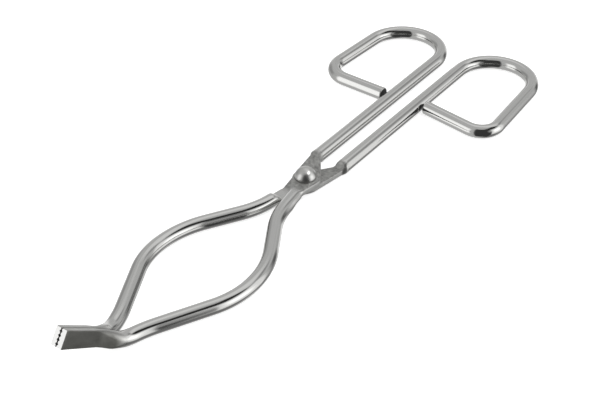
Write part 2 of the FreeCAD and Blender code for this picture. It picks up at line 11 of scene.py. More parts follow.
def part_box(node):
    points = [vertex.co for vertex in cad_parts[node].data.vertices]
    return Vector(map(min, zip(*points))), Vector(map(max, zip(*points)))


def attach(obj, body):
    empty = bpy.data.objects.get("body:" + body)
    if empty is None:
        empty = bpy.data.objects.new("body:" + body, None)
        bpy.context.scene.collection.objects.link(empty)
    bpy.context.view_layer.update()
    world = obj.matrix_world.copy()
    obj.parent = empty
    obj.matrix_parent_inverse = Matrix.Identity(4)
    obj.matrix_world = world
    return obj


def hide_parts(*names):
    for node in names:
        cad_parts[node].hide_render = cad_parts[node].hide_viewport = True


bl_info = {
    "name": "Crucible Tongs",
    "version": (1, 0, 0),
    "blender": (4, 5, 0),
    "location": "3D View > Sidebar > Tongs",
    "description": "Two crossed arms of plated rod with jaw blades, on one domed rivet",
    "category": "Object",
}

# The frame gives the places: the rivet's axis is the Z axis, +X runs to the finger loops, the
# closed jaws meet on the XZ plane and the rods lie on the bench plane Z = 0.
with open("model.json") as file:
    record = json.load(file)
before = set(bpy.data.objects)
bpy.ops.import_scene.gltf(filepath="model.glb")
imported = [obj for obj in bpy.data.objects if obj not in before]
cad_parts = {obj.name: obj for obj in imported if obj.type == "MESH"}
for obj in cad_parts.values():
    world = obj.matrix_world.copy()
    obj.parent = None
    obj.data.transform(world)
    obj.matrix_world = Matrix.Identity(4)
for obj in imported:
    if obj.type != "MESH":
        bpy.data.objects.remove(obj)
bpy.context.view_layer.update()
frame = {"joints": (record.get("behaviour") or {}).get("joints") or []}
PIVOT = frame["joints"][0]
ROD_LEVEL = PIVOT["pos_m"][2]
ARM_LOW, ARM_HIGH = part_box("upper_arm")
RIVET_LOW, RIVET_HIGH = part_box("pivot_rivet")

MM = 0.001
FULL_TURN = 2 * math.pi

# A face is an end cap where all its corners lie this near to the rod's end.
CAP_DEPTH = 0.005 * MM

# Corners nearer than this are one corner.
MERGE = 1e-7

# How the forged flat runs out into the neck: where each change starts, and over what length.
FACE_LEAD, FACE_RUN = 1.6 * MM, 4.2 * MM
SIDE_LEAD, SIDE_RUN = 1 * MM, 3 * MM
LAP_END_RUN = 3.4 * MM
FLAT_PAST_NECK = 2 * MM
FLAT_STEP = 0.2 * MM

# The flat's outline: its corners past its ends, and their insets at the neck.
CORNER_PAST = 0.9 * MM
BACK_INSET = 0.55 * MM
FRONT_INSET = 0.3 * MM

# How a blade turns flat behind its bend: its underside, its top and its finish.
BELLY_RUN = 5.5 * MM
CROWN_LEAD, CROWN_RUN = 2 * MM, 12 * MM
JAW_LEAD, JAW_RUN = 3 * MM, 11 * MM
BLADE_CHAMFER = 0.3 * MM

# How far the groove tools reach past the blade's end.
OVERCUT = 1 * MM
BORE_SIDES = 64

# The rivet: its rounded edges, the steps over its dome, and where they start beside the rim.
RIVET_EDGE = 0.12 * MM
DOME_STEPS = 24
DOME_START = 0.985

# Edges sharper than these stay sharp in the shading.
ARM_SHARP = math.radians(40)
RIVET_SHARP = math.radians(50)

# What the arms' mesh carries for their finish: the place in the section (across, up) and along
# the rod, and how far it is a forged flat, a jaw blade and a rounded edge with a painted highlight.
GRAIN = "grain"
WORK = "work"


# ---- Settings ----


def metres(name, description, default, **limits):
    """A size setting, in metres."""
    return FloatProperty(
        name=name, description=description, default=default, unit="LENGTH", precision=5, **limits)


def degrees(name, description, default):
    """An angle setting, with its default in degrees."""
    return FloatProperty(
        name=name, description=description, default=math.radians(default), subtype="ANGLE")


def tint(name, description, default):
    """A colour setting."""
    return FloatVectorProperty(
        name=name, description=description, subtype="COLOR", default=default, size=3, min=0, max=1)


class RodSettings(bpy.types.PropertyGroup):
    """The round rod that both arms are bent from."""

    radius: metres("Radius", "Half the rod's diameter", ROD_LEVEL, min=0.001)
    sides: IntProperty(
        name="Sides", description="Points round a section, a multiple of four", default=48, min=16)
    step: metres("Step", "Longest distance between two sections", 0.9 * MM, min=0.0002)
    end_round: metres("End Round", "Rounded edge of a cut end", 0.35 * MM, min=0.0)


class LoopSettings(bpy.types.PropertyGroup):
    """What both shanks and finger loops share."""

    reach: metres("Reach", "Rivet axis to the centre line at the far end", ARM_HIGH.x - ROD_LEVEL)
    shank_offset: metres("Shank Offset", "Centre plane to a shank's centre line", 5.9 * MM)
    end_radius: metres("End Radius", "Round far end of the loop", 16 * MM)
    end_gap: metres("End Gap", "Between the cut end and the shank beside it", 1.2 * MM)


class FarLoopSettings(bpy.types.PropertyGroup):
    """The hand-made bends of the upper arm's loop."""

    flare: degrees("Flare", "Outer side of the loop against the shank", 3.2)
    corner_radius: metres("Corner Radius", "Tight bend before the crosspiece", 10.0 * MM)
    slant: degrees("Slant", "Crosspiece against a square to the shank", -1.5)
    cross_reach: metres(
        "Crosspiece Reach", "Rivet axis to the centre of the crosspiece's cut end", 68.0 * MM)


class NearLoopSettings(bpy.types.PropertyGroup):
    """The hand-made bends of the lower arm's loop."""

    flare: degrees("Flare", "Outer side of the loop against the shank", 3.8)
    corner_radius: metres("Corner Radius", "Tight bend before the crosspiece", 7.4 * MM)
    slant: degrees("Slant", "Crosspiece against a square to the shank", 8.5)
    cross_reach: metres(
        "Crosspiece Reach", "Rivet axis to the centre of the crosspiece's cut end", 69.4 * MM)


class EyeSettings(bpy.types.PropertyGroup):
    """The forged flat that the rivet goes through."""

    shoulder: metres("Shoulder", "Rivet axis to the foot of the step up to the shank", 13.3 * MM)
    shoulder_run: metres("Shoulder Run", "Length of that step on the outer face", 2.0 * MM)
    lap_run: metres("Lap Shoulder Run", "Length of that step on the inner face", 2.6 * MM)
    back_radius: metres("Back Radius", "Eye on the shank's side", 5.0 * MM)
    front_radius: metres("Front Radius", "Eye on the other side", 5.8 * MM)
    top_inset: metres("Top Inset", "Outer face below the top of the rod", 0.5 * MM)
    half_gap: metres("Half Gap", "Inner face to the rods' mid-plane", 0.05 * MM)
    edge: metres("Edge Round", "Rounded outer edge of the flat", 0.5 * MM)
    lap_edge: metres("Lap Edge Round", "Rounded inner edge of the flat", 0.15 * MM)
    shank_corner: metres(
        "Shank Corner", "Centre plane to the flat's outer edge at the shank", 7.25 * MM)
    bore_radius: metres("Bore Radius", "Hole for the rivet", 2.06 * MM)


class BowSettings(bpy.types.PropertyGroup):
    """The wide bow between the eye and the blade."""

    neck_reach: metres("Neck Reach", "Rivet axis to where the neck runs into the flat", 8.0 * MM)
    neck_offset: metres("Neck Offset", "Centre plane to the neck's centre line there", 1.85 * MM)
    neck_slope: degrees("Neck Slope", "Slope of the straight neck", 9)
    neck_run: metres("Neck Run", "Length of the straight neck", 9.6 * MM)
    lap_reach: metres("Lap Reach", "Rivet axis to where the half lap starts to end", 13.0 * MM)
    root_slope: degrees("Root Slope", "Steepest slope between the rivet and the crest", 31)
    neck_ratio: FloatProperty(
        name="Neck Bend Ratio", description="Hollow bend at the neck against the crest's radius",
        default=0.86)
    crest_reach: metres("Crest Reach", "Rivet axis to the widest place of the bow", 60.0 * MM)
    crest_offset: metres(
        "Crest Offset", "Centre plane to the centre line at the widest place",
        -ARM_LOW.y - ROD_LEVEL)
    jaw_slope: degrees("Jaw Slope", "Steepest slope between the crest and the jaws", 27)
    throat_slope: degrees("Throat Slope", "Slope that is left at the end of the round rod", 10)
    throat_ratio: FloatProperty(
        name="Throat Bend Ratio", description="Hollow bend at the jaws against the crest's radius",
        default=1.4)
    rod_end_gap: metres("Rod End Gap", "Between the two round rods where they end", 0.9 * MM)


class BladeSettings(bpy.types.PropertyGroup):
    """The flattened, upturned jaw blade."""

    angle: degrees("Angle", "Upward bend of the blade", 35.5)
    bend_reach: metres("Bend Reach", "Rivet axis to the corner of the upward bend", 103.4 * MM)
    bend_radius: metres("Bend Radius", "Upward bend of the centre line", 11 * MM)
    rod_past_bend: metres(
        "Rod Past Bend", "Corner of the bend to the end of the round rod", 1.4 * MM)
    start: metres("Flat Start", "Corner of the bend to where the blade is fully flat", 12 * MM)
    length: metres("Length", "Corner of the bend to the blade's end", 28.8 * MM)
    thickness: metres("Thickness", "Across the jaw", 2.2 * MM)
    root_width: metres("Root Width", "Height of the blade where it is fully flat", 5.8 * MM)
    tip_width: metres("Tip Width", "Height of the blade at its end", 6.5 * MM)
    gap: metres("Jaw Gap", "Between the closed blades", 0.2 * MM)
    edge: metres("Edge Round", "Rounded long edges of the blade", 0.35 * MM)
    groove_count: IntProperty(
        name="Grooves", description="Lengthwise gripping grooves in each blade", default=4, min=1)
    groove_pitch: metres("Groove Pitch", "From one groove to the next", 1.38 * MM)
    groove_depth: metres("Groove Depth", "Depth of a groove", 0.55 * MM)
    groove_width: metres("Groove Width", "Width of a groove at the face", 1.16 * MM)
    groove_length: metres("Groove Length", "Length of a groove from the blade's end", 15.8 * MM)


class RivetSettings(bpy.types.PropertyGroup):
    """The domed rivet."""

    shank_radius: metres("Shank Radius", "Rivet in the bores", 2.0 * MM)
    foot_radius: metres("Foot Radius", "Flat closing head underneath", 3.6 * MM)
    foot_height: metres("Foot Height", "Thickness of the closing head", 0.5 * MM)
    seat: metres("Seat", "Underside of the dome above the bench", 5.05 * MM)
    rim: metres("Rim", "Nearly straight edge under the dome", 0.5 * MM)
    sides: IntProperty(name="Sides", description="Steps round the rivet", default=96, min=16)


class FinishSettings(bpy.types.PropertyGroup):
    """Colours of the finishes."""

    plated: tint("Plated Rod", "Nickel plate on the rods", (0.70, 0.70, 0.685))
    forged: tint("Forged Flats", "Satin plate over the hammered flats", (0.47, 0.47, 0.455))
    jaw: tint("Jaw Faces", "Dull plate over the blades' wide faces", (0.20, 0.20, 0.185))
    ground: tint("Ground Steel", "Ground ends of the blades", (0.86, 0.86, 0.85))
    # The cut colour is near black: dull sawn steel, darkened further as painted shade of the narrow
    # gap between the loop's cut end and the shank.
    cut: tint("Cut Steel", "Sawn ends of the rods", (0.10, 0.10, 0.10))
    dome: tint("Rivet", "Polished rivet", (0.66, 0.66, 0.645))


class StageSettings(bpy.types.PropertyGroup):
    """Floor, light and camera."""

    aim: FloatVectorProperty(
        name="Aim", description="Point that the camera looks at", subtype="TRANSLATION",
        default=(-11.2 * MM, -5.6 * MM, ROD_LEVEL), size=3, unit="LENGTH", precision=5)
    heading: degrees("Heading", "Camera's side, turned from +X about +Z", 216.29)
    elevation: degrees("Elevation", "Camera's angle above the bench", 36.79)
    roll: degrees("Roll", "Camera's turn about its own axis", -0.42)
    distance: metres("Distance", "Camera to the aim", 0.4737)
    lens: FloatProperty(name="Lens", description="Focal length in millimetres", default=78.0)
    floor: tint("Floor", "Pale floor", (0.93, 0.93, 0.93))
    floor_glow: FloatProperty(
        name="Floor Glow", description="Light from under the pale floor", default=0.8, min=0)


SETTINGS = {
    "tongs_rod": RodSettings,
    "tongs_loop": LoopSettings,
    "tongs_far_loop": FarLoopSettings,
    "tongs_near_loop": NearLoopSettings,
    "tongs_eye": EyeSettings,
    "tongs_bow": BowSettings,
    "tongs_blade": BladeSettings,
    "tongs_rivet": RivetSettings,
    "tongs_finish": FinishSettings,
    "tongs_stage": StageSettings,
}


# ---- Node trees ----


class Wire:
    """A socket of a node tree, used as a number or a vector in sums."""

    def __init__(self, graph, socket):
        self.graph = graph
        self.socket = socket

    def math(self, operation, *values):
        kind = "ShaderNodeVectorMath" if self.socket.type == "VECTOR" else "ShaderNodeMath"
        return self.graph.add(kind, dict(enumerate(values)), operation=operation)

    def __add__(self, other):
        return self.math("ADD", self, other)

    def __radd__(self, other):
        return self.math("ADD", other, self)

    def __sub__(self, other):
        return self.math("SUBTRACT", self, other)

    def __rsub__(self, other):
        return self.math("SUBTRACT", other, self)

    def __mul__(self, other):
        return self.math("MULTIPLY", self, other)

    def __rmul__(self, other):
        return self.math("MULTIPLY", other, self)

    def clamp(self):
        return self.math("MINIMUM", self.math("MAXIMUM", self, 0.0), 1.0)

    def scaled(self, factor):
        values = {0: self, "Scale": factor}
        return self.graph.add("ShaderNodeVectorMath", values, operation="SCALE")


class Graph:
    """A node tree that is built by adding nodes."""

    def __init__(self, tree):
        self.tree = tree

    def add(self, kind, values=None, output=0, **settings):
        """Make a node, set it up, feed its sockets and give back one of its outputs."""
        node = self.tree.nodes.new(kind)
        for name, value in settings.items():
            setattr(node, name, value)
        for key, value in (values or {}).items():
            self.feed(node.inputs[key], value)
        return Wire(self, node.outputs[output]) if len(node.outputs) else node

    def feed(self, socket, value):
        if isinstance(value, Wire):
            self.tree.links.new(value.socket, socket)
        elif isinstance(value, list):
            for item in value:
                self.tree.links.new(item.socket, socket)
        else:
            socket.default_value = value

    def mix(self, factor, first, second):
        """A colour between two colours."""
        return self.add("ShaderNodeMix", {0: factor, 6: first, 7: second}, 2, data_type="RGBA")


def new_geometry_tree(name, sockets):
    """A Geometry Nodes tree with these named inputs and one geometry output."""
    tree = bpy.data.node_groups.new(name, "GeometryNodeTree")
    for label, kind in (("Geometry", "Geometry"), *sockets):
        tree.interface.new_socket(label, in_out="INPUT", socket_type="NodeSocket" + kind)
    tree.interface.new_socket("Geometry", in_out="OUTPUT", socket_type="NodeSocketGeometry")
    graph = Graph(tree)
    node = tree.nodes.new("NodeGroupInput")
    inputs = {socket.name: Wire(graph, socket) for socket in node.outputs if socket.name}
    return graph, inputs


def new_object(name, data):
    """An object in the scene for a mesh, light or camera."""
    thing = bpy.data.objects.new(name, data)
    bpy.context.scene.collection.objects.link(thing)
    return thing


def bmesh_object(name, work):
    """An object from a finished bmesh."""
    mesh = bpy.data.meshes.new(name)
    work.to_mesh(mesh)
    work.free()
    return new_object(name, mesh)


def run_tree(source, graph, values, name):
    """Evaluate a tree on an object and give back the result as a plain mesh object."""
    modifier = source.modifiers.new("shape", "NODES")
    modifier.node_group = graph.tree
    for item in graph.tree.interface.items_tree:
        if item.in_out == "INPUT" and item.name in values:
            modifier[item.identifier] = values[item.name]
    source.update_tag()
    bpy.context.view_layer.update()
    depsgraph = bpy.context.evaluated_depsgraph_get()
    mesh = bpy.data.meshes.new_from_object(source.evaluated_get(depsgraph))
    mesh.name = name
    source.modifiers.remove(modifier)
    bpy.data.objects.remove(source)
    return new_object(name, mesh)


def stored(graph, kind, *names):
    """Named attributes as wires."""
    node = "GeometryNodeInputNamedAttribute"
    return [graph.add(node, {"Name": name}, data_type=kind) for name in names]


def store(graph, kind, domain, geometry, name, value):
    """Geometry that also carries value under a name."""
    return graph.add(
        "GeometryNodeStoreNamedAttribute", {"Geometry": geometry, "Name": name, "Value": value},
        data_type=kind, domain=domain)


def spread(graph, x, y, z):
    """Three numbers as a vector."""
    return graph.add("ShaderNodeCombineXYZ", {"X": x, "Y": y, "Z": z})


def parts_of(graph, vector):
    """A vector's three numbers."""
    return [graph.add("ShaderNodeSeparateXYZ", {0: vector}, i) for i in range(3)]


def rod_tree():
    """Sweeps a section along a chain of stations that say how wide, high and round it is.

    A section is four quarter ellipses joined by straight sides. A round rod has no straight sides,
    and a blade or a flat has small quarters at its corners.
    """
    graph, inputs = new_geometry_tree("tongs_rod", [
        ("Sides", "Int"), ("Length", "Float"), ("Rod Material", "Material"),
        ("Cut Material", "Material"), ("Blade End Material", "Material")])
    profile = graph.add(
        "GeometryNodeCurvePrimitiveCircle", {"Resolution": inputs["Sides"], "Radius": 1.0})
    index = graph.add("GeometryNodeInputIndex")
    turn = (index + 0.5) * FULL_TURN
    turn = turn.math("DIVIDE", turn, inputs["Sides"])
    profile = store(graph, "FLOAT", "POINT", profile, "turn", turn)
    path = graph.add("GeometryNodeMeshToCurve", {"Mesh": inputs["Geometry"]})
    swept = graph.add("GeometryNodeCurveToMesh", {
        "Curve": path, "Profile Curve": profile, "Fill Caps": True})
    turn, half, top, bottom, along, forged, jaw = stored(
        graph, "FLOAT", "turn", "half", "top", "bottom", "along", "forged", "jaw")
    crown_wide, crown_high, belly_wide, belly_high = stored(
        graph, "FLOAT", "crown_wide", "crown_high", "belly_wide", "belly_high")
    place, across, rise = stored(graph, "FLOAT_VECTOR", "place", "across", "rise")
    cosine = turn.math("COSINE", turn)
    sine = turn.math("SINE", turn)
    upper = sine.math("GREATER_THAN", sine, 0.0)
    wide = belly_wide + (crown_wide - belly_wide) * upper
    high = belly_high + (crown_high - belly_high) * upper
    reach = bottom + (top - bottom) * upper
    sideways = cosine.math("SIGN", cosine) * (half - wide) + wide * cosine
    upward = sine.math("SIGN", sine) * (reach - high) + high * sine
    spot = place + across.scaled(sideways) + rise.scaled(upward)
    shaped = graph.add("GeometryNodeSetPosition", {"Geometry": swept, "Position": spot})
    grain = spread(graph, sideways, upward, along)
    shaped = store(graph, "FLOAT_VECTOR", "POINT", shaped, GRAIN, grain)
    # The underside of a blade's root is flat sooner than its top, and it takes the dark jaw colour
    # sooner as painted shade on the blade's lower side.
    jaw = (2 * jaw - 0.5 - 0.5 * sine).clamp()
    # How far a point lies on the rounded edge of a flat or a blade, where a highlight is painted.
    edge = jaw * sine * sine + forged * cosine * cosine
    work = spread(graph, forged, jaw, edge)
    shaped = store(graph, "FLOAT_VECTOR", "POINT", shaped, WORK, work)
    shaped = graph.add("GeometryNodeSetShadeSmooth", {"Geometry": shaped})
    shaped = graph.add("GeometryNodeRealizeInstances", {"Geometry": shaped})
    at_cut = along.math("LESS_THAN", along, CAP_DEPTH)
    at_blade_end = along.math("GREATER_THAN", along, inputs["Length"] - CAP_DEPTH)
    for chosen, label in ((True, "Rod"), (at_cut, "Cut"), (at_blade_end, "Blade End")):
        shaped = graph.add("GeometryNodeSetMaterial", {
            "Geometry": shaped, "Selection": chosen, "Material": inputs[label + " Material"]})
    graph.add("NodeGroupOutput", {"Geometry": shaped})
    return graph


def cutting_tree():
    """Takes the rivet's bore and a row of lengthwise V grooves out of an arm."""
    graph, inputs = new_geometry_tree("tongs_cuts", [
        ("Bore Radius", "Float"), ("Bore Length", "Float"), ("Bore Sides", "Int"),
        ("Groove Count", "Int"), ("Groove Start", "Vector"), ("Groove Step", "Vector"),
        ("Groove Turn", "Rotation"), ("Groove Size", "Vector"), ("Material", "Material"),
    ])
    bore = graph.add("GeometryNodeMeshCylinder", {
        "Vertices": inputs["Bore Sides"], "Radius": inputs["Bore Radius"],
        "Depth": inputs["Bore Length"]})
    groove = graph.add(
        "GeometryNodeMeshCylinder", {"Vertices": 3, "Radius": 1.0, "Depth": 1.0})
    row = graph.add("GeometryNodeMeshLine", {
        "Count": inputs["Groove Count"], "Start Location": inputs["Groove Start"],
        "Offset": inputs["Groove Step"]})
    grooves = graph.add("GeometryNodeInstanceOnPoints", {
        "Points": row, "Instance": groove, "Rotation": inputs["Groove Turn"],
        "Scale": inputs["Groove Size"]})
    tools = graph.add("GeometryNodeJoinGeometry", {"Geometry": [bore, grooves]})
    tools = graph.add("GeometryNodeRealizeInstances", {"Geometry": tools})
    tools = store(graph, "BOOLEAN", "FACE", tools, "cut", True)
    cut = graph.add(
        "GeometryNodeMeshBoolean", {"Mesh 1": inputs["Geometry"], "Mesh 2": tools},
        operation="DIFFERENCE", solver="EXACT")
    cut = graph.add("GeometryNodeRealizeInstances", {"Geometry": cut})
    (chosen,) = stored(graph, "BOOLEAN", "cut")
    cut = graph.add("GeometryNodeSetMaterial", {
        "Geometry": cut, "Selection": chosen, "Material": inputs["Material"]})
    graph.add("NodeGroupOutput", {"Geometry": cut})
    return graph


# ---- Arms ----


Station = namedtuple(
    "Station",
    "place across rise half top bottom crown_wide crown_high belly_wide belly_high forged jaw")


def ease(share):
    """A smooth step from 0 to 1."""
    share = min(max(share, 0.0), 1.0)
    return share * share * (3 - 2 * share)


def mix(first, second, share):
    return first + (second - first) * share


def glide(start, start_slope, end, length, share):
    """A cubic from start, leaving at a slope, to end, arriving level."""
    share = min(max(share, 0.0), 1.0)
    leave = share * (1 - share) ** 2 * length * start_slope
    return start + (end - start) * ease(share) + leave


class Route:
    """A centre line in the plane of the rods, walked as straight runs and bends."""

    def __init__(self, x, y, heading, step):
        self.x = x
        self.y = y
        self.heading = heading
        self.step = step
        self.spots = [(x, y, heading)]

    def go(self, count, chord, turn=0.0):
        """Go on by a number of equal steps that share a turn."""
        for _ in range(count):
            self.heading += turn / count / 2
            self.x += math.cos(self.heading) * chord
            self.y += math.sin(self.heading) * chord
            self.heading += turn / count / 2
            self.spots.append((self.x, self.y, self.heading))

    def run(self, length):
        """Go straight on."""
        count = max(1, math.ceil(length / self.step))
        self.go(count, length / count)

    def bend(self, radius, turn):
        """Go round an arc, to the left where turn is positive."""
        count = max(2, math.ceil(radius * abs(turn) / self.step))
        self.go(count, 2 * radius * math.sin(abs(turn) / count / 2), turn)


def lengths_along(gap_x, gap_y, first, second):
    """How far to go on two headings, one after the other, to cover a gap."""
    cross = math.cos(first) * math.sin(second) - math.sin(first) * math.cos(second)
    along_first = (gap_x * math.sin(second) - gap_y * math.cos(second)) / cross
    along_second = (gap_y * math.cos(first) - gap_x * math.sin(first)) / cross
    return along_first, along_second


def falling_bend(slope, end_slope, ratio, run, fall):
    """Crest radius, straight and end radius of an S that covers a run and a fall from a crest."""
    arc_run = math.sin(slope) + ratio * (math.sin(slope) - math.sin(end_slope))
    arc_fall = 1 - math.cos(slope) + ratio * (math.cos(end_slope) - math.cos(slope))
    divisor = arc_run * math.sin(slope) - arc_fall * math.cos(slope)
    radius = (run * math.sin(slope) - fall * math.cos(slope)) / divisor
    straight = (fall * arc_run - run * arc_fall) / divisor
    return radius, straight, radius * ratio


def loop_route(rod, loop, bends, eye):
    """From the crosspiece's cut end round the loop and down the shank to the shoulder."""
    outward = math.radians(90) + bends.slant
    start_y = loop.shank_offset + rod.radius + loop.end_gap
    centre_x = loop.reach - loop.end_radius
    centre_y = loop.shank_offset + loop.end_radius
    corner_turn = -math.radians(90) - bends.slant - bends.flare
    side_heading = outward + corner_turn
    far_turn = -math.pi - side_heading
    # Both bends as the straight shifts that they make, so that the runs can close the loop.
    corner_x = bends.corner_radius * (math.sin(outward) - math.sin(side_heading))
    corner_y = bends.corner_radius * (math.cos(side_heading) - math.cos(outward))
    far_x = centre_x - loop.end_radius * math.sin(side_heading)
    far_y = centre_y + loop.end_radius * math.cos(side_heading)
    cross_run, side_run = lengths_along(
        far_x - bends.cross_reach - corner_x, far_y - start_y - corner_y, outward, side_heading)
    route = Route(bends.cross_reach, start_y, outward, rod.step)
    route.run(cross_run)
    route.bend(bends.corner_radius, corner_turn)
    route.run(side_run)
    route.bend(loop.end_radius, far_turn)
    route.run(route.x - eye.shoulder - eye.shoulder_run)
    return route.spots


def bow_route(rod, bow, blade):
    """From the neck round the crest to the place where the round rod ends."""
    rod_end = blade.bend_reach + blade.rod_past_bend
    rod_end_offset = rod.radius + bow.rod_end_gap / 2
    root_radius, root_run, neck_radius = falling_bend(
        bow.root_slope, bow.neck_slope, bow.neck_ratio,
        bow.crest_reach - bow.neck_reach - bow.neck_run * math.cos(bow.neck_slope),
        bow.crest_offset - bow.neck_offset - bow.neck_run * math.sin(bow.neck_slope))
    jaw_radius, jaw_run, throat_radius = falling_bend(
        bow.jaw_slope, bow.throat_slope, bow.throat_ratio,
        rod_end - bow.crest_reach, bow.crest_offset - rod_end_offset)
    route = Route(-bow.neck_reach, -bow.neck_offset, math.pi + bow.neck_slope, rod.step)
    route.run(bow.neck_run)
    route.bend(neck_radius, bow.root_slope - bow.neck_slope)
    route.run(root_run)
    route.bend(root_radius, -bow.root_slope)
    route.bend(jaw_radius, -bow.jaw_slope)
    route.run(jaw_run)
    route.bend(throat_radius, bow.jaw_slope - bow.throat_slope)
    return route.spots


def eye_edge(x, shank_corner, radius, neck_corner):
    """Height of the eye's outline at x: tangent lines from two corners and the eye between them."""
    def touch(corner, turn):
        angle = math.atan2(corner[1], corner[0]) + turn * math.acos(radius / math.hypot(*corner))
        return radius * math.cos(angle), radius * math.sin(angle)

    first = touch(shank_corner, 1)
    second = touch(neck_corner, -1)
    if x > first[0]:
        return mix(first[1], shank_corner[1], (x - first[0]) / (shank_corner[0] - first[0]))
    if x < second[0]:
        return mix(second[1], neck_corner[1], (second[0] - x) / (second[0] - neck_corner[0]))
    return math.sqrt(radius * radius - x * x)


def level_section(x, rod, eye, bow, lap):
    """Height and roundness of the section at x, flat at the eye and round on both rods."""
    shank = ease((x - eye.shoulder) / eye.shoulder_run)
    lap_shank = ease((x - eye.shoulder) / eye.lap_run)
    neck = ease((-x - bow.neck_reach + FACE_LEAD) / FACE_RUN)
    lap_end = ease((-x - bow.lap_reach) / LAP_END_RUN)
    outer = mix(rod.radius - eye.top_inset, rod.radius, max(shank, neck))
    outer_edge = mix(eye.edge, rod.radius, max(shank, neck))
    inner = mix(-eye.half_gap, rod.radius, max(lap_shank, lap_end))
    inner_edge = mix(eye.lap_edge, rod.radius, max(lap_shank, lap_end))
    outer_high = min(outer_edge, outer + inner - inner_edge)
    outer_face = (outer, outer_edge, outer_high)
    inner_face = (inner, inner_edge, inner_edge)
    top_face, bottom_face = (outer_face, inner_face) if lap > 0 else (inner_face, outer_face)
    forged = 1 - max(ease((x - eye.shoulder - eye.lap_run / 2) / eye.lap_run), neck)
    return (top_face[0], bottom_face[0], *top_face[1:], *bottom_face[1:], forged, 0.0)


def flat_stations(rod, loop, eye, bow, lap):
    """The stretch from the shoulder over the eye to the neck."""
    shank_x = eye.shoulder + CORNER_PAST
    neck_x = -bow.neck_reach - CORNER_PAST
    outer_corners = (
        (shank_x, eye.shank_corner),
        (neck_x, rod.radius - bow.neck_offset - BACK_INSET))
    inner_corners = (
        (shank_x, rod.radius - loop.shank_offset),
        (neck_x, bow.neck_offset + rod.radius - FRONT_INSET))
    start = eye.shoulder + eye.shoulder_run
    end = -bow.neck_reach - FLAT_PAST_NECK
    count = math.ceil((start - end) / FLAT_STEP)
    stations = []
    for i in range(1, count):
        x = mix(start, end, i / count)
        high = eye_edge(x, outer_corners[0], eye.back_radius, outer_corners[1])
        low = -eye_edge(x, inner_corners[0], eye.front_radius, inner_corners[1])
        shank = ease((x - eye.shoulder) / eye.shoulder_run)
        high = mix(high, loop.shank_offset + rod.radius, shank)
        low = mix(low, loop.shank_offset - rod.radius, shank)
        neck = ease((-x - bow.neck_reach + SIDE_LEAD) / SIDE_RUN)
        neck_y = -bow.neck_offset - (-x - bow.neck_reach) * math.tan(bow.neck_slope)
        centre = mix((high + low) / 2, neck_y, neck)
        half = mix((high - low) / 2, rod.radius, neck)
        heading = math.pi + bow.neck_slope * neck
        stations.append(station(x, centre, heading, half, level_section(x, rod, eye, bow, lap)))
    return stations


def station(x, y, heading, half, section):
    """A section that stands square to its heading in the plane of the rods."""
    top, bottom, crown_wide, crown_high, belly_wide, *others = section
    return Station(
        Vector((x, y, ROD_LEVEL)), Vector((-math.sin(heading), math.cos(heading), 0)),
        Vector((0, 0, 1)), half, top, bottom, min(crown_wide, half), crown_high,
        min(belly_wide, half), *others)


def blade_stations(rod, bow, blade, last):
    """The bent and flattened end, from the last round station on."""
    tangent = blade.bend_radius * math.tan(blade.angle / 2)
    bend_start = blade.bend_reach - tangent
    bend_run = blade.bend_radius * blade.angle
    flat_start = bend_run + blade.start - tangent
    end = bend_run + blade.length - tangent
    first = -last[0] - bend_start
    slope = -math.tan(bow.throat_slope)
    outer_start = -last[1] + rod.radius
    inner_start = -last[1] - rod.radius
    flat_run = flat_start - first
    count = math.ceil((end - first) / (rod.step / 2))
    stations = []
    for i in range(1, count + 1):
        way = mix(first, end, i / count)
        share = (way - first) / flat_run
        outer = glide(outer_start, slope, blade.gap / 2 + blade.thickness, flat_run, share)
        inner = glide(inner_start, slope, blade.gap / 2, flat_run, share)
        half = (outer - inner) / 2
        widen = min(max((way - flat_start) / (end - flat_start), 0), 1)
        root = mix(rod.radius, blade.root_width / 2, ease(share))
        high = mix(root, blade.tip_width / 2, widen)
        belly = mix(rod.radius, blade.edge, ease((way - first) / BELLY_RUN))
        crown = mix(rod.radius, blade.edge, ease((way - first - CROWN_LEAD) / CROWN_RUN))
        chamfer = max(0.0, way - end + BLADE_CHAMFER) / 2
        half -= chamfer
        high -= chamfer
        heading = math.pi - bow.throat_slope * (1 - ease(share))
        flat_station = station(
            -(bend_start + way), -(outer + inner) / 2, heading, half,
            (high, high, crown, crown, belly, belly, 0.0, jaw_share(bend_start + way, blade)))
        stations.append(flat_station)
    return [bent_up(item, blade) for item in stations]


def jaw_share(reach, blade):
    """How far the dull jaw finish has taken over at this reach of the straightened arm."""
    share = (reach - blade.bend_reach + JAW_LEAD) / JAW_RUN
    return min(max(share, 0.0), 1.0)


def bent_up(item, blade):
    """A station carried round the upward bend of the jaws."""
    tangent = blade.bend_radius * math.tan(blade.angle / 2)
    bend_start = blade.bend_reach - tangent
    way = -item.place.x - bend_start
    if way <= 0:
        return item
    angle = min(way / blade.bend_radius, blade.angle)
    beyond = max(0.0, way - blade.bend_radius * blade.angle)
    x = -bend_start - blade.bend_radius * math.sin(angle) - beyond * math.cos(angle)
    z = ROD_LEVEL + blade.bend_radius * (1 - math.cos(angle)) + beyond * math.sin(angle)
    turn = Matrix.Rotation(angle, 3, "Y")
    return item._replace(
        place=Vector((x, item.place.y, z)), across=turn @ item.across, rise=turn @ item.rise)


def cut_end(stations, size):
    """Round the edge of a rod's cut end, which is the first station."""
    first, second = stations[0], stations[1]
    direction = (second.place - first.place).normalized()
    rounded = []
    round_sizes = Station._fields[3:10]
    for share in (0.0, 0.15, 0.4, 0.7):
        inset = size * (1 - math.sqrt(1 - (1 - share) ** 2))
        radius = first.half - inset
        rounded.append(first._replace(
            place=first.place + direction * size * share, **dict.fromkeys(round_sizes, radius)))
    return rounded + [first._replace(place=first.place + direction * size)] + stations[1:]


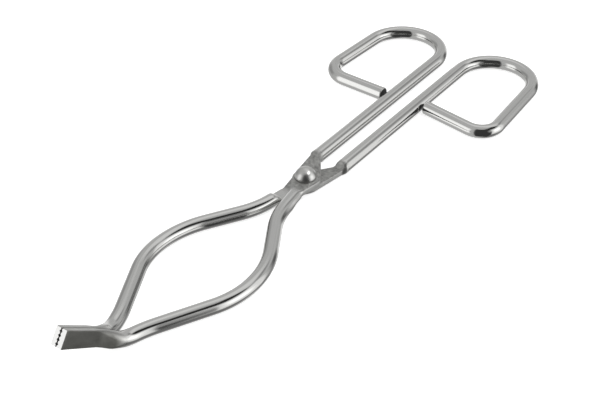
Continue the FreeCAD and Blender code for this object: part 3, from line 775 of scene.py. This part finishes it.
def arm_stations(scene, bends, lap):
    """Every section of an arm whose loop lies on +Y, from the loop's cut end to the blade's end."""
    rod, loop, eye = scene.tongs_rod, scene.tongs_loop, scene.tongs_eye
    bow, blade = scene.tongs_bow, scene.tongs_blade
    stations = []
    for x, y, heading in loop_route(rod, loop, bends, eye):
        section = level_section(x, rod, eye, bow, lap)
        stations.append(station(x, y, heading, rod.radius, section))
    stations = cut_end(stations, rod.end_round)
    stations += flat_stations(rod, loop, eye, bow, lap)
    spots = bow_route(rod, bow, blade)
    for x, y, heading in spots:
        if x < -bow.neck_reach - FLAT_PAST_NECK:
            section = level_section(x, rod, eye, bow, lap)[:-1] + (jaw_share(-x, blade),)
            stations.append(bent_up(station(x, y, heading, rod.radius, section), blade))
    return stations + blade_stations(rod, bow, blade, spots[-1])


def guide_object(name, stations, side):
    """The chain of stations as a mesh of edges that carries their sizes."""
    mirror = Vector((1, side, 1))
    mesh = bpy.data.meshes.new(name)
    count = len(stations)
    places = [item.place * mirror for item in stations]
    mesh.from_pydata(places, [(i, i + 1) for i in range(count - 1)], [])
    along = [0.0]
    for i in range(1, count):
        along.append(along[-1] + (places[i] - places[i - 1]).length)
    for field in ("place", "across", "rise"):
        attribute = mesh.attributes.new(field, "FLOAT_VECTOR", "POINT")
        values = [getattr(item, field) * mirror for item in stations]
        attribute.data.foreach_set("vector", [number for value in values for number in value])
    for field in Station._fields[3:]:
        attribute = mesh.attributes.new(field, "FLOAT", "POINT")
        attribute.data.foreach_set("value", [getattr(item, field) for item in stations])
    mesh.attributes.new("along", "FLOAT", "POINT").data.foreach_set("value", along)
    return new_object(name, mesh), along[-1]


def cutting_values(scene, side, material):
    """Where the bore and the grooves go on an arm whose loop is on side."""
    eye, blade = scene.tongs_eye, scene.tongs_blade
    direction = Vector((-math.cos(blade.angle), 0, math.sin(blade.angle)))
    upward = Vector((math.sin(blade.angle), 0, math.cos(blade.angle)))
    corner = Vector((-blade.bend_reach, 0, ROD_LEVEL))
    inward = Vector((0, side, 0))
    half_angle = math.atan2(blade.groove_width / 2, blade.groove_depth)
    # A three-sided tool: one edge at the groove's floor and a face outside the blade.
    height = 2.0 * blade.groove_depth
    floor = -side * (blade.gap / 2 + blade.groove_depth)
    middle = corner + direction * (blade.length + (OVERCUT - blade.groove_length) / 2)
    span = blade.groove_pitch * (blade.groove_count - 1)
    start = middle - upward * span / 2
    start.y = floor + side * height * 2 / 3
    turn = Matrix((-inward, upward, (-inward).cross(upward))).transposed()
    return {
        "Bore Radius": eye.bore_radius, "Bore Length": 8 * ROD_LEVEL, "Bore Sides": BORE_SIDES,
        "Groove Count": blade.groove_count, "Groove Start": start,
        "Groove Step": upward * blade.groove_pitch, "Groove Turn": turn.to_euler(),
        "Groove Size": Vector((
            height * 2 / 3, height * math.tan(half_angle) / math.sin(math.radians(60)),
            blade.groove_length + OVERCUT)),
        "Material": material,
    }


def face_outwards(work):
    """Merge a bmesh's doubles and turn every face outwards."""
    bmesh.ops.remove_doubles(work, verts=work.verts, dist=MERGE)
    bmesh.ops.recalc_face_normals(work, faces=work.faces)


def close_normals(piece):
    """Merge a piece's doubles and turn its faces outwards."""
    work = bmesh.new()
    work.from_mesh(piece.data)
    face_outwards(work)
    work.to_mesh(piece.data)
    work.free()


def build_arm(name, node, body, bends, side, lap, finishes):
    """One arm, swept, cut and given its finishes."""
    scene = bpy.context.scene
    guide, length = guide_object(name + "_guide", arm_stations(scene, bends, lap), side)
    piece = run_tree(guide, rod_tree(), {
        "Sides": scene.tongs_rod.sides, "Length": length, "Rod Material": finishes["plated"],
        "Cut Material": finishes["cut"], "Blade End Material": finishes["ground"]}, name + "_bar")
    close_normals(piece)
    cuts = cutting_values(scene, side, finishes["ground"])
    piece = run_tree(piece, cutting_tree(), cuts, name)
    for attribute in list(piece.data.attributes):
        if attribute.name in Station._fields + ("turn", "along", "cut"):
            piece.data.attributes.remove(attribute)
    close_normals(piece)
    piece.data.set_sharp_from_angle(angle=ARM_SHARP)
    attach(piece, body)
    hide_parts(node)


# ---- Rivet ----


def rivet_profile(rivet):
    """Half section of the rivet, from the axis underneath to the axis on top."""
    bench, top = RIVET_LOW.z, RIVET_HIGH.z
    dome_radius = RIVET_HIGH.x
    shoulder = rivet.seat + rivet.rim
    rise = top - shoulder
    sphere = (dome_radius ** 2 + rise ** 2) / (2 * rise)
    spread = math.asin(dome_radius / sphere)
    edge = RIVET_EDGE
    points = [
        (0, bench), (rivet.foot_radius - edge, bench), (rivet.foot_radius, bench + edge),
        (rivet.foot_radius, rivet.foot_height), (rivet.shank_radius, rivet.foot_height),
        (rivet.shank_radius, rivet.seat), (dome_radius - edge, rivet.seat),
        (dome_radius, rivet.seat + edge), (dome_radius, shoulder - edge)]
    for i in range(DOME_STEPS + 1):
        angle = spread * DOME_START * (1 - i / DOME_STEPS)
        points.append((sphere * math.sin(angle), top - sphere * (1 - math.cos(angle))))
    return points


def build_rivet(finishes):
    """The rivet, turned from its half section."""
    rivet = bpy.context.scene.tongs_rivet
    work = bmesh.new()
    chain = [work.verts.new((x, 0, z)) for x, z in rivet_profile(rivet)]
    edges = [work.edges.new(pair) for pair in zip(chain, chain[1:])]
    bmesh.ops.spin(
        work, geom=chain + edges, cent=(0, 0, 0), axis=(0, 0, 1), dvec=(0, 0, 0),
        angle=FULL_TURN, steps=rivet.sides, use_merge=True)
    face_outwards(work)
    piece = bmesh_object("domed_rivet", work)
    piece.data.shade_smooth()
    piece.data.set_sharp_from_angle(angle=RIVET_SHARP)
    piece.data.materials.append(finishes["dome"])
    rivet_lighting().objects.link(piece)
    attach(piece, "lower_half")
    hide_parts("pivot_rivet")


# ---- Finishes ----


def new_finish(name):
    """An empty node material and its graph."""
    material = bpy.data.materials.new(name)
    material.use_nodes = True
    material.node_tree.nodes.clear()
    return material, Graph(material.node_tree)


def grain_noise(graph, vector, across, along, detail=3.0):
    """Noise of one size across the rod and another along it, both in metres."""
    stretched = vector * (1 / across, 1 / across, 1 / along)
    return graph.add("ShaderNodeTexNoise", {
        "Vector": stretched, "Scale": 1.0, "Detail": detail, "Roughness": 0.6})


def finish_output(graph, tone, rough, height, bump, distance, metal=1.0):
    """The metal shader over a bump of height."""
    normal = graph.add(
        "ShaderNodeBump", {"Strength": bump, "Distance": distance, "Height": height})
    shader = graph.add("ShaderNodeBsdfPrincipled", {
        "Base Color": tone, "Metallic": metal, "Roughness": rough, "Normal": normal})
    graph.add("ShaderNodeOutputMaterial", {"Surface": shader})


def colour(value, share=1.0):
    """A colour with its alpha, brightened or darkened by share."""
    return (*(share * part for part in value), 1.0)


def plated_finish(graph, finish):
    """Bright plate on the rods that turns to satin over the forged flats."""
    grain = graph.add("ShaderNodeAttribute", None, 1, attribute_name=GRAIN)
    work = graph.add("ShaderNodeAttribute", None, 1, attribute_name=WORK)
    forged, jaw, edge = parts_of(graph, work)
    lines = grain_noise(graph, grain, 0.22 * MM, 18 * MM)
    cloud = grain_noise(graph, grain, 2.5 * MM, 9 * MM, 2.0)
    hammer = grain_noise(graph, grain, 1.3 * MM, 1.5 * MM, 4.0)
    hammer = (2.6 * hammer - 0.8).clamp()
    tone = graph.mix(lines, colour(finish.plated, 0.82), colour(finish.plated))
    flats = graph.mix(hammer, colour(finish.forged, 0.5), colour(finish.forged, 1.15))
    jaws = graph.mix(cloud, colour(finish.jaw, 0.65), colour(finish.jaw, 1.2))
    tone = graph.mix(jaw, graph.mix(forged, tone, flats), jaws)
    # Painted highlight: the rounded edges of the flats and blades are brightened to the plated
    # colour, patchy by the cloud noise.
    tone = graph.mix(edge * (0.35 + 0.5 * cloud), tone, colour(finish.plated))
    flat = forged + jaw
    rough = (0.08 + 0.08 * cloud) * (1 - flat) + (0.42 + 0.14 * hammer) * flat
    height = 0.3 * lines + hammer * flat
    finish_output(graph, tone, rough, height, 0.35, 0.05 * MM)


def tooled_finish(graph, bare, darkest, across, along, rough, rise, metal=1.0):
    """Bare steel with tool marks of one size across and another along.

    The bare steel's colour is darkened to a share, the roughness is its least and how much the
    marks add, and the rise is the bump's strength and distance.
    """
    place = graph.add("ShaderNodeTexCoord", None, "Object")
    marks = grain_noise(graph, place, across, along)
    tone = graph.mix(marks, colour(bare, darkest), colour(bare))
    finish_output(graph, tone, rough[0] + rough[1] * marks, marks, *rise, metal)


def ground_finish(graph, finish):
    """Bright ground steel with fine straight grinding lines."""
    tooled_finish(
        graph, finish.ground, 0.75, 0.12 * MM, 3 * MM, (0.28, 0.12), (0.2, 0.02 * MM))


def cut_finish(graph, finish):
    """Dull sawn steel on the cut ends of the rods, near black as painted shade of the narrow gap
    beside the shank.
    """
    tooled_finish(
        graph, finish.cut, 0.6, 0.2 * MM, 0.5 * MM, (0.45, 0.2), (0.4, 0.03 * MM), 0.8)


def dome_finish(graph, finish):
    """Polished rivet with small dents from setting it."""
    place = graph.add("ShaderNodeTexCoord", None, "Object")
    dents = graph.add("ShaderNodeTexNoise", {
        "Vector": place, "Scale": 700.0, "Detail": 3.0, "Roughness": 0.55})
    tone = graph.mix(dents, colour(finish.dome, 0.8), colour(finish.dome))
    finish_output(graph, tone, 0.25 + 0.14 * dents, dents, 0.3, 0.04 * MM)


FINISHES = {
    "plated": plated_finish, "ground": ground_finish, "cut": cut_finish, "dome": dome_finish,
}


def finish_set(scene):
    """All finishes by name, made once."""
    found = {}
    for name, draw in FINISHES.items():
        found[name] = bpy.data.materials.get("tongs_" + name)
        if found[name] is None:
            found[name], graph = new_finish("tongs_" + name)
            draw(graph, scene.tongs_finish)
    return found


# ---- Stage ----


# The room round the bench, in the order that its patches cover each other. Each has its heading
# from +X and its height above the bench, half its width and height, its soft edge, all in
# degrees, and its brightness.
ROOM_GREY = 0.58
ROOM = {
    "high wall": (12, 59, 44, 14, 7, 0.86),
    "far wall": (25, -14, 32, 20, 9, 0.90),
    "far floor": (12, -20, 14, 10, 6, 1.20),
    "front edge": (20, -62, 60, 14, 6, 0.70),
    "left gap": (85, 8, 22, 17, 10, 0.36),
    "left panel": (148, 5, 17, 33, 7, 1.40),
    "right skirt": (-78, -60, 35, 28, 8, 0.22),
    "low gap": (-28, -36, 18, 11, 6, 0.24),
    "high gap": (-20, 40, 14, 6, 5, 0.33),
    "right wall": (-68, 4, 31, 31, 4, 1.05),
    "right panel": (-72, 10, 16, 18, 8, 1.70),
    "post": (-18, -4, 8, 18, 7, 0.13),
    "roof edge": (-76, 55, 34, 12, 4, 0.02),
    "near gap": (-138, -2, 38, 64, 3, 0.05),
    "near panel": (-106, 21, 6, 13, 7, 0.40),
}

# How far the floor and the white hollow reach from the joint, in metres.
STAGE_REACH = 4.0


def stage_piece(name, work, finish, kind, values):
    """A piece of the stage with one plain shader, which the metal doesn't mirror."""
    piece = bmesh_object(name, work)
    material, graph = new_finish(finish)
    graph.add("ShaderNodeOutputMaterial", {"Surface": graph.add(kind, values)})
    piece.data.materials.append(material)
    piece.visible_glossy = False
    return piece


def build_backdrop():
    """A white hollow round the stage that the camera sees and the metal doesn't."""
    work = bmesh.new()
    bmesh.ops.create_uvsphere(work, u_segments=48, v_segments=24, radius=STAGE_REACH)
    backdrop = stage_piece("backdrop", work, "white_backdrop", "ShaderNodeEmission", {
        "Color": (1, 1, 1, 1), "Strength": 1.0})
    backdrop.visible_diffuse = False
    backdrop.visible_transmission = False
    backdrop.visible_shadow = False


def build_floor(stage):
    """A wide pale floor."""
    work = bmesh.new()
    corners = [(-1, -1), (1, -1), (1, 1), (-1, 1)]
    work.faces.new([work.verts.new((x * STAGE_REACH, y * STAGE_REACH, 0)) for x, y in corners])
    floor = stage_piece("floor", work, "pale_floor", "ShaderNodeBsdfPrincipled", {
        "Base Color": colour(stage.floor), "Roughness": 0.9, "Specular IOR Level": 0.1,
        "Emission Color": colour(stage.floor), "Emission Strength": stage.floor_glow})


def rivet_lighting():
    """The pieces that the small lamp over the joint shines on, made once."""
    name = "rivet_lighting"
    return bpy.data.collections.get(name) or bpy.data.collections.new(name)


def build_light(name, place, size, power, pieces=None):
    """A soft light that faces the joint, and that only the given pieces mirror."""
    data = bpy.data.lights.new(name, "AREA")
    data.shape = "RECTANGLE"
    data.size, data.size_y = size
    data.energy = power
    light = new_object(name, data)
    light.location = place
    light.rotation_euler = (-Vector(place)).to_track_quat("-Z", "Y").to_euler()
    light.visible_glossy = pieces is not None
    light.light_linking.receiver_collection = pieces


def patch(graph, heading, height, grey, spot):
    """Lay one soft-edged patch over the grey of the room."""
    *angles, bright = spot
    place_round, place_up, half_round, half_up, soft = map(math.radians, angles)
    turned = heading.math("WRAP", heading - place_round, math.pi, -math.pi)
    shares = []
    for distance, half in ((turned, half_round), (height - place_up, half_up)):
        shares.append(graph.add("ShaderNodeMapRange", {
            "Value": distance.math("ABSOLUTE", distance), "From Min": half + soft,
            "From Max": half - soft}, interpolation_type="SMOOTHSTEP"))
    share = shares[0] * shares[1]
    return grey + (bright - grey) * share


def build_world():
    """The soft grey room that the metal mirrors, with its white panels and dark gaps."""
    world = bpy.data.worlds.new("studio")
    world.use_nodes = True
    world.node_tree.nodes.clear()
    graph = Graph(world.node_tree)
    direction = graph.add("ShaderNodeTexCoord", None, "Generated")
    x, y, z = parts_of(graph, direction)
    heading = x.math("ARCTAN2", y, x)
    height = z.math("ARCSINE", z)
    grey = height * 0.0 + ROOM_GREY
    for spot in ROOM.values():
        grey = patch(graph, heading, height, grey, spot)
    background = graph.add("ShaderNodeBackground", {"Color": grey, "Strength": 1.0})
    graph.add("ShaderNodeOutputWorld", {"Surface": background})
    bpy.context.scene.world = world


def build_camera(stage):
    """The camera at its heading and height round the aim."""
    flat = math.cos(stage.elevation)
    direction = Vector((
        flat * math.cos(stage.heading), flat * math.sin(stage.heading), math.sin(stage.elevation)))
    data = bpy.data.cameras.new("camera")
    data.lens = stage.lens
    data.sensor_width = 36.0
    data.clip_start = 0.01
    camera = new_object("camera", data)
    camera.location = Vector(stage.aim) + direction * stage.distance
    level = (-direction).to_track_quat("-Z", "Y")
    camera.rotation_euler = (level @ Quaternion((0, 0, 1), stage.roll)).to_euler()
    bpy.context.scene.camera = camera


# ---- Operators and panel ----


class TONGS_OT_arms(bpy.types.Operator):
    """Build the two crossed arms"""

    bl_idname = "tongs.arms"
    bl_label = "Build Arms"

    def execute(self, context):
        scene = context.scene
        finishes = finish_set(scene)
        build_arm(
            "far_loop_arm", "upper_arm", "upper_half", scene.tongs_far_loop, 1, 1, finishes)
        build_arm(
            "near_loop_arm", "lower_arm", "lower_half", scene.tongs_near_loop, -1, -1, finishes)
        return {"FINISHED"}


class TONGS_OT_rivet(bpy.types.Operator):
    """Build the domed rivet"""

    bl_idname = "tongs.rivet"
    bl_label = "Build Rivet"

    def execute(self, context):
        build_rivet(finish_set(context.scene))
        return {"FINISHED"}


class TONGS_OT_stage(bpy.types.Operator):
    """Build the floor, the lights and the camera"""

    bl_idname = "tongs.stage"
    bl_label = "Build Stage"

    def execute(self, context):
        stage = context.scene.tongs_stage
        build_camera(stage)
        build_floor(stage)
        build_backdrop()
        build_world()
        build_light("key", (-0.22, -0.63, 1.56), (0.45, 0.45), 4)
        build_light("joint_lamp", (0.22, -0.47, 0.87), (0.30, 0.22), 2.5, rivet_lighting())
        context.scene.view_settings.view_transform = "Standard"
        return {"FINISHED"}


class TONGS_PT_panel(bpy.types.Panel):
    """Sizes and colours of the tongs"""

    bl_idname = "TONGS_PT_panel"
    bl_label = "Crucible Tongs"
    bl_space_type = "VIEW_3D"
    bl_region_type = "UI"
    bl_category = "Tongs"

    def draw(self, context):
        for name, group in SETTINGS.items():
            box = self.layout.box()
            box.label(text=group.__doc__)
            settings = getattr(context.scene, name)
            for field in group.__annotations__:
                box.prop(settings, field)
        for operator in OPERATORS:
            self.layout.operator(operator.bl_idname)


OPERATORS = (TONGS_OT_stage, TONGS_OT_arms, TONGS_OT_rivet)
CLASSES = (*SETTINGS.values(), *OPERATORS, TONGS_PT_panel)


def register():
    for item in CLASSES:
        bpy.utils.register_class(item)
    for name, group in SETTINGS.items():
        setattr(bpy.types.Scene, name, PointerProperty(type=group))


def unregister():
    for name in SETTINGS:
        delattr(bpy.types.Scene, name)
    for item in reversed(CLASSES):
        bpy.utils.unregister_class(item)


def main():
    """Build everything in order."""
    register()
    bpy.ops.tongs.stage()
    bpy.ops.tongs.arms()
    bpy.ops.tongs.rivet()


if __name__ == "__main__":
    main()
